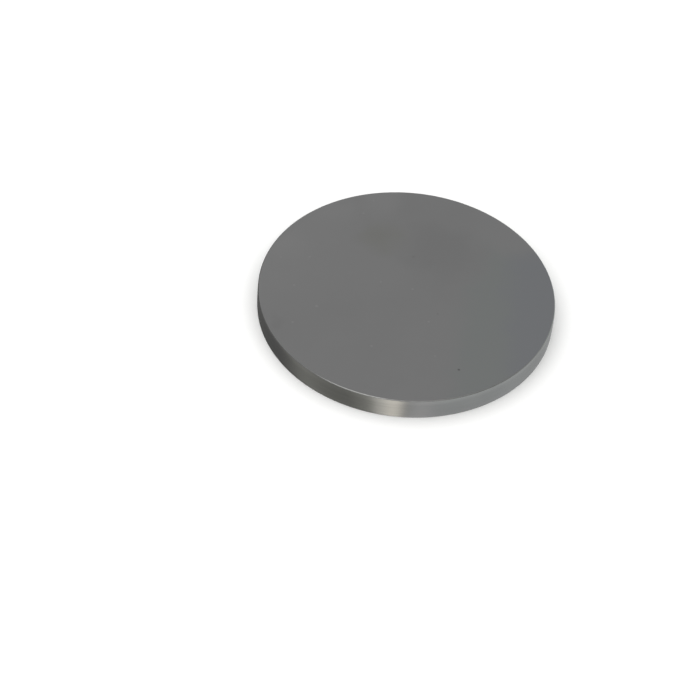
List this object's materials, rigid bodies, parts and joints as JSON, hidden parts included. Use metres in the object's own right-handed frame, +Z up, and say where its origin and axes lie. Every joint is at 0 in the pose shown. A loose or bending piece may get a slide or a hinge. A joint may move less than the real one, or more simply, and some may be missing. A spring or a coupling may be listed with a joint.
{
  "type": "molybdenum disc",
  "caption": "Flat round disc of solid molybdenum with ground faces, a turned rim and finely broken edges, used as metal stock, a contact plate or a target blank.",
  "frame": {"origin": "centre of the lower face, on which the disc lies", "axes": "+Z up through the thickness, along the disc's axis; X and Y lie in the lower face and are equivalent"},
  "size_m": [0.0762, 0.0762, 0.006],
  "materials": {
    "ground_molybdenum": "fine ground satin faces and a turned satin rim, bare grey metal"
  },
  "bodies": {
    "root": {"molybdenum_disc": "ground_molybdenum"}
  },
  "joints": []
}
